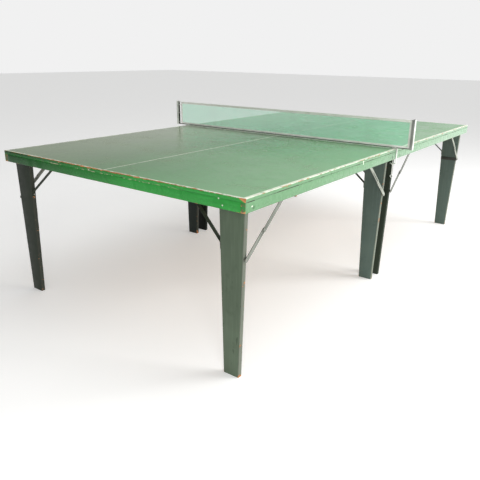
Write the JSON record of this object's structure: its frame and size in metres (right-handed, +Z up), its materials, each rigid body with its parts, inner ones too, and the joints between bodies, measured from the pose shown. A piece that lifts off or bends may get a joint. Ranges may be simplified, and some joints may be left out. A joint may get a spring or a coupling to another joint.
{
  "type": "ping pong table",
  "caption": "Vintage two-part ping pong table with a worn green painted top, folding plank legs on stays and a clamped-on net.",
  "frame": {"origin": "on the floor, under the middle of the table at the net line", "axes": "+X across the width, +Y along the length from the near half to the far half, +Z up"},
  "size_m": [1.7, 2.74, 0.92],
  "materials": {
    "playing_paint": "satin worn paint",
    "apron_paint": "gloss paint",
    "bare_wood": "raw",
    "leg_paint": "satin paint",
    "stay_steel": "satin",
    "brace_steel": "satin",
    "strap_steel": "satin",
    "fastener_steel": "dull",
    "post_paint": "worn enamel",
    "clamp_paint": "worn enamel",
    "screw_steel": "zinc plated",
    "net_cotton": "woven",
    "tape_cotton": "woven"
  },
  "bodies": {
    "near_half": {"left_post": "post_paint", "near_battens": "bare_wood", "near_end_rail": "apron_paint", "near_left_side_rail": "apron_paint", "near_pivot_bolts": "fastener_steel", "near_right_side_rail": "apron_paint", "near_seam_rail": "apron_paint", "near_stay_anchors": "fastener_steel", "near_top_board": "playing_paint", "net_bar": "post_paint", "net_edge_tapes": "tape_cotton", "net_mesh": "net_cotton", "net_ties": "tape_cotton", "net_top_cord": "tape_cotton", "net_top_tape": "tape_cotton", "right_post": "post_paint"},
    "far_half": {"far_battens": "bare_wood", "far_end_rail": "apron_paint", "far_left_side_rail": "apron_paint", "far_pivot_bolts": "fastener_steel", "far_right_side_rail": "apron_paint", "far_seam_rail": "apron_paint", "far_stay_anchors": "fastener_steel", "far_top_board": "playing_paint"},
    "near_end_legs": {"near_end_braces": "brace_steel", "near_end_cross_rail": "leg_paint", "near_end_fixings": "fastener_steel", "near_end_left_leg": "leg_paint", "near_end_right_leg": "leg_paint"},
    "near_end_upper_links": {"near_end_upper_stays": "stay_steel"},
    "near_end_lower_links": {"near_end_lower_stays": "stay_steel"},
    "near_seam_legs": {"near_seam_braces": "brace_steel", "near_seam_cross_rail": "leg_paint", "near_seam_fixings": "fastener_steel", "near_seam_left_leg": "leg_paint", "near_seam_right_leg": "leg_paint"},
    "near_seam_upper_links": {"near_seam_upper_stays": "stay_steel"},
    "near_seam_lower_links": {"near_seam_lower_stays": "stay_steel"},
    "far_seam_legs": {"far_seam_braces": "brace_steel", "far_seam_cross_rail": "leg_paint", "far_seam_fixings": "fastener_steel", "far_seam_left_leg": "leg_paint", "far_seam_right_leg": "leg_paint"},
    "far_seam_upper_links": {"far_seam_upper_stays": "stay_steel"},
    "far_seam_lower_links": {"far_seam_lower_stays": "stay_steel"},
    "far_end_legs": {"far_end_braces": "brace_steel", "far_end_cross_rail": "leg_paint", "far_end_fixings": "fastener_steel", "far_end_left_leg": "leg_paint", "far_end_leg_straps": "strap_steel", "far_end_right_leg": "leg_paint"},
    "far_end_upper_links": {"far_end_upper_stays": "stay_steel"},
    "far_end_lower_links": {"far_end_lower_stays": "stay_steel"},
    "left_clamp": {"left_clamp": "clamp_paint"},
    "left_pad": {"left_clamp_pad": "clamp_paint"},
    "left_screw": {"left_eye_screw": "screw_steel"},
    "right_clamp": {"right_clamp": "clamp_paint"},
    "right_pad": {"right_clamp_pad": "clamp_paint"},
    "right_screw": {"right_eye_screw": "screw_steel"}
  },
  "joints": [
    {"name": "far_half_slide", "type": "slide", "parent": "near_half", "child": "far_half", "axis": [0, 1, 0], "range_m": [0, 0.5]},
    {"name": "near_end_fold", "type": "hinge", "parent": "near_half", "child": "near_end_legs", "pos_m": [0, -1.322, 0.72], "axis": [1, 0, 0], "range_deg": [0, 90]},
    {"name": "near_end_upper_link", "type": "hinge", "parent": "near_half", "child": "near_end_upper_links", "pos_m": [0, -1.074, 0.72], "axis": [-1, 0, 0], "range_deg": [0, 40.04]},
    {"name": "near_end_lower_link", "type": "hinge", "parent": "near_end_legs", "child": "near_end_lower_links", "pos_m": [0, -1.322, 0.512], "axis": [1, 0, 0], "range_deg": [0, 50.06]},
    {"name": "near_seam_fold", "type": "hinge", "parent": "near_half", "child": "near_seam_legs", "pos_m": [0, -0.0485, 0.72], "axis": [-1, 0, 0], "range_deg": [0, 87]},
    {"name": "near_seam_upper_link", "type": "hinge", "parent": "near_half", "child": "near_seam_upper_links", "pos_m": [0, -0.2965, 0.72], "axis": [1, 0, 0], "range_deg": [0, 39.48]},
    {"name": "near_seam_lower_link", "type": "hinge", "parent": "near_seam_legs", "child": "near_seam_lower_links", "pos_m": [0, -0.0485, 0.512], "axis": [-1, 0, 0], "range_deg": [0, 49.38]},
    {"name": "far_seam_fold", "type": "hinge", "parent": "far_half", "child": "far_seam_legs", "pos_m": [0, 0.0485, 0.72], "axis": [1, 0, 0], "range_deg": [0, 87]},
    {"name": "far_seam_upper_link", "type": "hinge", "parent": "far_half", "child": "far_seam_upper_links", "pos_m": [0, 0.2965, 0.72], "axis": [-1, 0, 0], "range_deg": [0, 39.48]},
    {"name": "far_seam_lower_link", "type": "hinge", "parent": "far_seam_legs", "child": "far_seam_lower_links", "pos_m": [0, 0.0485, 0.512], "axis": [1, 0, 0], "range_deg": [0, 49.38]},
    {"name": "far_end_fold", "type": "hinge", "parent": "far_half", "child": "far_end_legs", "pos_m": [0, 1.322, 0.72], "axis": [-1, 0, 0], "range_deg": [0, 90]},
    {"name": "far_end_upper_link", "type": "hinge", "parent": "far_half", "child": "far_end_upper_links", "pos_m": [0, 1.074, 0.72], "axis": [1, 0, 0], "range_deg": [0, 40.04]},
    {"name": "far_end_lower_link", "type": "hinge", "parent": "far_end_legs", "child": "far_end_lower_links", "pos_m": [0, 1.322, 0.512], "axis": [-1, 0, 0], "range_deg": [0, 50.06]},
    {"name": "left_clamp_slide", "type": "slide", "parent": "near_half", "child": "left_clamp", "axis": [-1, 0, 0], "range_m": [0, 0.045]},
    {"name": "left_pad_slide", "type": "slide", "parent": "left_clamp", "child": "left_pad", "axis": [0, 0, -1], "range_m": [0, 0.0125]},
    {"name": "left_screw_turn", "type": "hinge", "parent": "left_pad", "child": "left_screw", "pos_m": [-0.748, 0, 0.609], "axis": [0, 0, 1], "range_deg": [0, 3601]},
    {"name": "right_clamp_slide", "type": "slide", "parent": "near_half", "child": "right_clamp", "axis": [1, 0, 0], "range_m": [0, 0.045]},
    {"name": "right_pad_slide", "type": "slide", "parent": "right_clamp", "child": "right_pad", "axis": [0, 0, -1], "range_m": [0, 0.0125]},
    {"name": "right_screw_turn", "type": "hinge", "parent": "right_pad", "child": "right_screw", "pos_m": [0.748, 0, 0.609], "axis": [0, 0, 1], "range_deg": [0, 3601]}
  ],
  "couplings": [
    {"joint": "near_end_upper_link", "follows": "near_end_fold", "ratio": 0.4443},
    {"joint": "near_end_lower_link", "follows": "near_end_fold", "ratio": 0.5557},
    {"joint": "near_seam_upper_link", "follows": "near_seam_fold", "ratio": 0.45323},
    {"joint": "near_seam_lower_link", "follows": "near_seam_fold", "ratio": 0.56696},
    {"joint": "far_seam_upper_link", "follows": "far_seam_fold", "ratio": 0.45323},
    {"joint": "far_seam_lower_link", "follows": "far_seam_fold", "ratio": 0.56696},
    {"joint": "far_end_upper_link", "follows": "far_end_fold", "ratio": 0.4443},
    {"joint": "far_end_lower_link", "follows": "far_end_fold", "ratio": 0.5557},
    {"joint": "left_screw_turn", "follows": "left_pad_slide", "rad_per_m": 5026.5},
    {"joint": "right_screw_turn", "follows": "right_pad_slide", "rad_per_m": 5026.5}
  ]
}
